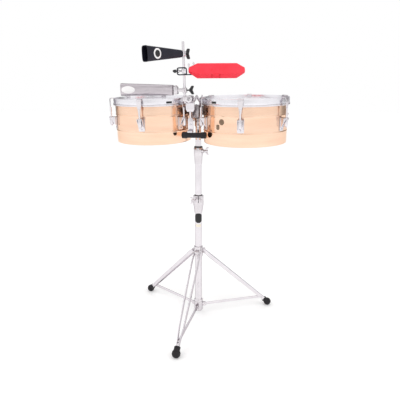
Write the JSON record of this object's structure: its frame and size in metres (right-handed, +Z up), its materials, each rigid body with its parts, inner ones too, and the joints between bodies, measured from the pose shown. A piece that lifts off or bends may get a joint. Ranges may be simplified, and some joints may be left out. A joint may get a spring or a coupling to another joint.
{
  "type": "timbales",
  "caption": "Pair of shallow metal drums with tension rims on a folding tripod stand, with bells and a plastic block on a post between them.",
  "frame": {"origin": "centre of the whole object's plan, on the floor under the three feet", "axes": "+Z up, +X along the line of the drums from the smaller drum to the larger, -Y towards the audience, where the bells and the block hang"},
  "size_m": [0.7694, 0.6034, 1.248],
  "materials": {
    "shell_bronze": "polished",
    "chrome": "polished",
    "zinc_casting": "satin",
    "head_film": "satin",
    "black_rubber": "matte",
    "black_plastic": "matte",
    "nylon": "satin",
    "black_steel": "satin",
    "brushed_steel": "brushed",
    "red_plastic": "satin"
  },
  "bodies": {
    "base": {"lower_tube": "chrome", "tube_bottom_hub": "zinc_casting", "hub_pins": "chrome", "height_clamp": "zinc_casting", "height_clamp_bushing": "nylon"},
    "height_wing_bolt": {"height_wing_bolt": "chrome"},
    "leg_collar": {"leg_collar": "zinc_casting", "leg_collar_pins": "chrome"},
    "leg_collar_wing_bolt": {"leg_collar_wing_bolt": "chrome"},
    "leg_1": {"leg_1_strips": "chrome", "leg_1_foot": "black_rubber"},
    "leg_1_brace": {"leg_1_brace": "chrome"},
    "leg_2": {"leg_2_strips": "chrome", "leg_2_foot": "black_rubber"},
    "leg_2_brace": {"leg_2_brace": "chrome"},
    "leg_3": {"leg_3_strips": "chrome", "leg_3_foot": "black_rubber"},
    "leg_3_brace": {"leg_3_brace": "chrome"},
    "mast": {"middle_tube": "chrome", "upper_clamp": "zinc_casting"},
    "upper_wing_bolt": {"upper_wing_bolt": "chrome"},
    "upper_clamp_sleeve": {"upper_clamp_sleeve": "nylon"},
    "stem": {"stem_tube": "chrome", "tilter_head": "zinc_casting"},
    "bridge": {"bridge_block": "zinc_casting", "drum_pins": "chrome", "front_plate": "chrome", "bumper_hanger": "chrome", "bumper_bar": "black_rubber", "post_clamp": "zinc_casting"},
    "tilt_wing_bolt": {"tilt_wing_bolt": "chrome"},
    "left_drum_lock": {"left_drum_lock": "chrome"},
    "right_drum_lock": {"right_drum_lock": "chrome"},
    "post_clamp_knob": {"post_clamp_knob": "chrome"},
    "accessory_post": {"accessory_post": "chrome"},
    "high_bell": {"high_bell": "black_steel", "high_bell_clamp": "black_steel"},
    "high_bell_wing_nut": {"high_bell_wing_nut": "black_plastic"},
    "low_bell": {"low_bell": "brushed_steel", "low_bell_clamp": "zinc_casting"},
    "low_bell_wing_nut": {"low_bell_wing_nut": "black_plastic"},
    "jam_block": {"jam_block": "red_plastic", "jam_block_bracket": "black_steel"},
    "jam_block_wing_nut": {"jam_block_wing_nut": "black_plastic"},
    "left_drum": {"left_shell": "shell_bronze", "left_head": "head_film", "left_flesh_hoop": "chrome", "left_lugs": "chrome", "left_tuning_nuts": "chrome", "left_mount_bracket": "chrome"},
    "left_rim": {"left_rim": "chrome", "left_claws": "chrome"},
    "right_drum": {"right_shell": "shell_bronze", "right_head": "head_film", "right_flesh_hoop": "chrome", "right_lugs": "chrome", "right_tuning_nuts": "chrome", "right_mount_bracket": "chrome"},
    "right_rim": {"right_rim": "chrome", "right_claws": "chrome"}
  },
  "joints": [
    {"name": "leg_collar_slide", "type": "slide", "parent": "base", "child": "leg_collar", "axis": [0, 0, 1], "range_m": [-0.16122, 0]},
    {"name": "leg_1_hinge", "type": "hinge", "parent": "leg_collar", "child": "leg_1", "pos_m": [-0.00897, 0.05788, 0.329], "axis": [0.9989, -0.0471, 0], "range_deg": [0, 33.88]},
    {"name": "leg_1_brace_hinge", "type": "hinge", "parent": "base", "child": "leg_1_brace", "pos_m": [-0.00911, 0.05488, 0.0535], "axis": [0.9989, -0.0471, 0], "range_deg": [0, 71.1]},
    {"name": "leg_2_hinge", "type": "hinge", "parent": "leg_collar", "child": "leg_2", "pos_m": [0.01629, 0.09723, 0.329], "axis": [-0.4587, 0.8886, 0], "range_deg": [0, 33.88]},
    {"name": "leg_2_brace_hinge", "type": "hinge", "parent": "base", "child": "leg_2_brace", "pos_m": [0.01896, 0.09861, 0.0535], "axis": [-0.4587, 0.8886, 0], "range_deg": [0, 71.1]},
    {"name": "leg_3_hinge", "type": "hinge", "parent": "leg_collar", "child": "leg_3", "pos_m": [-0.03042, 0.09944, 0.329], "axis": [-0.5402, -0.8415, 0], "range_deg": [0, 33.88]},
    {"name": "leg_3_brace_hinge", "type": "hinge", "parent": "base", "child": "leg_3_brace", "pos_m": [-0.03295, 0.10106, 0.0535], "axis": [-0.5402, -0.8415, 0], "range_deg": [0, 71.1]},
    {"name": "mast_height", "type": "slide", "parent": "base", "child": "mast", "axis": [0, 0, 1], "range_m": [-0.12, 0.12]},
    {"name": "upper_sleeve_swivel", "type": "hinge", "parent": "mast", "child": "upper_clamp_sleeve", "pos_m": [-0.0077, 0.08485, 0.8], "axis": [0, 0, 1], "continuous": true},
    {"name": "stem_height", "type": "slide", "parent": "upper_clamp_sleeve", "child": "stem", "axis": [0, 0, 1], "range_m": [0, 0.12]},
    {"name": "drum_tilt", "type": "hinge", "parent": "stem", "child": "bridge", "pos_m": [-0.0077, 0.08485, 0.967], "axis": [1, 0, 0], "range_deg": [-19, 5]},
    {"name": "left_drum_slide", "type": "slide", "parent": "bridge", "child": "left_drum", "axis": [-1, 0, 0], "range_m": [0, 0.04]},
    {"name": "right_drum_slide", "type": "slide", "parent": "bridge", "child": "right_drum", "axis": [1, 0, 0], "range_m": [0, 0.04]},
    {"name": "left_head_tension", "type": "slide", "parent": "left_drum", "child": "left_rim", "axis": [0, -0.075, 0.9972], "range_m": [0, 0.003]},
    {"name": "right_head_tension", "type": "slide", "parent": "right_drum", "child": "right_rim", "axis": [0, -0.075, 0.9972], "range_m": [0, 0.003]},
    {"name": "accessory_post_swivel", "type": "hinge", "parent": "bridge", "child": "accessory_post", "pos_m": [-0.03583, -0.04559, 1.02137], "axis": [-0.0131, -0.075, 0.9971], "range_deg": [-20, 20]},
    {"name": "high_bell_swivel", "type": "hinge", "parent": "accessory_post", "child": "high_bell", "pos_m": [-0.03819, -0.05913, 1.20145], "axis": [-0.0131, -0.075, 0.9971], "range_deg": [-40, 40]},
    {"name": "low_bell_swivel", "type": "hinge", "parent": "accessory_post", "child": "low_bell", "pos_m": [-0.03638, -0.04872, 1.06295], "axis": [-0.0131, -0.075, 0.9971], "range_deg": [-30, 50]},
    {"name": "jam_block_swivel", "type": "hinge", "parent": "accessory_post", "child": "jam_block", "pos_m": [-0.03735, -0.0543, 1.13713], "axis": [-0.0131, -0.075, 0.9971], "range_deg": [-40, 30]},
    {"name": "height_wing_bolt_turn", "type": "hinge", "parent": "base", "child": "height_wing_bolt", "pos_m": [-0.00187, 0.05593, 0.582], "axis": [-0.9803, -0.1977, 0], "continuous": true},
    {"name": "leg_collar_wing_bolt_turn", "type": "hinge", "parent": "leg_collar", "child": "leg_collar_wing_bolt", "pos_m": [0.01502, 0.07026, 0.3435], "axis": [0.8415, -0.5402, 0], "continuous": true},
    {"name": "upper_wing_bolt_turn", "type": "hinge", "parent": "mast", "child": "upper_wing_bolt", "pos_m": [0.01969, 0.07903, 0.805], "axis": [0.9781, -0.2079, 0], "continuous": true},
    {"name": "tilt_wing_bolt_turn", "type": "hinge", "parent": "bridge", "child": "tilt_wing_bolt", "pos_m": [-0.0077, 0.09836, 0.97403], "axis": [0, 0.9972, 0.075], "continuous": true},
    {"name": "left_drum_lock_turn", "type": "hinge", "parent": "bridge", "child": "left_drum_lock", "pos_m": [-0.0207, 0.04807, 1.00264], "axis": [0, -0.075, 0.9972], "continuous": true},
    {"name": "right_drum_lock_turn", "type": "hinge", "parent": "bridge", "child": "right_drum_lock", "pos_m": [-0.0021, 0.08796, 1.00564], "axis": [0, -0.075, 0.9972], "continuous": true},
    {"name": "post_clamp_knob_turn", "type": "hinge", "parent": "bridge", "child": "post_clamp_knob", "pos_m": [-0.0167, -0.05617, 1.0286], "axis": [0, -0.9972, -0.075], "continuous": true},
    {"name": "high_bell_wing_nut_turn", "type": "hinge", "parent": "high_bell", "child": "high_bell_wing_nut", "pos_m": [-0.03342, -0.05118, 1.20211], "axis": [0.5135, 0.8551, 0.071], "continuous": true},
    {"name": "low_bell_wing_nut_turn", "type": "hinge", "parent": "low_bell", "child": "low_bell_wing_nut", "pos_m": [-0.02708, -0.04873, 1.06307], "axis": [0.9999, -0.001, 0.0131], "continuous": true},
    {"name": "jam_block_wing_nut_turn", "type": "hinge", "parent": "jam_block", "child": "jam_block_wing_nut", "pos_m": [-0.04647, -0.05612, 1.13688], "axis": [-0.9802, -0.1961, -0.0276], "continuous": true}
  ],
  "couplings": [
    {"joint": "leg_1_hinge", "follows": "leg_collar_slide", "rad_per_m": -3.6568},
    {"joint": "leg_1_brace_hinge", "follows": "leg_collar_slide", "rad_per_m": -7.6861},
    {"joint": "leg_2_hinge", "follows": "leg_collar_slide", "rad_per_m": -3.6568},
    {"joint": "leg_2_brace_hinge", "follows": "leg_collar_slide", "rad_per_m": -7.6861},
    {"joint": "leg_3_hinge", "follows": "leg_collar_slide", "rad_per_m": -3.6568},
    {"joint": "leg_3_brace_hinge", "follows": "leg_collar_slide", "rad_per_m": -7.6861}
  ]
}
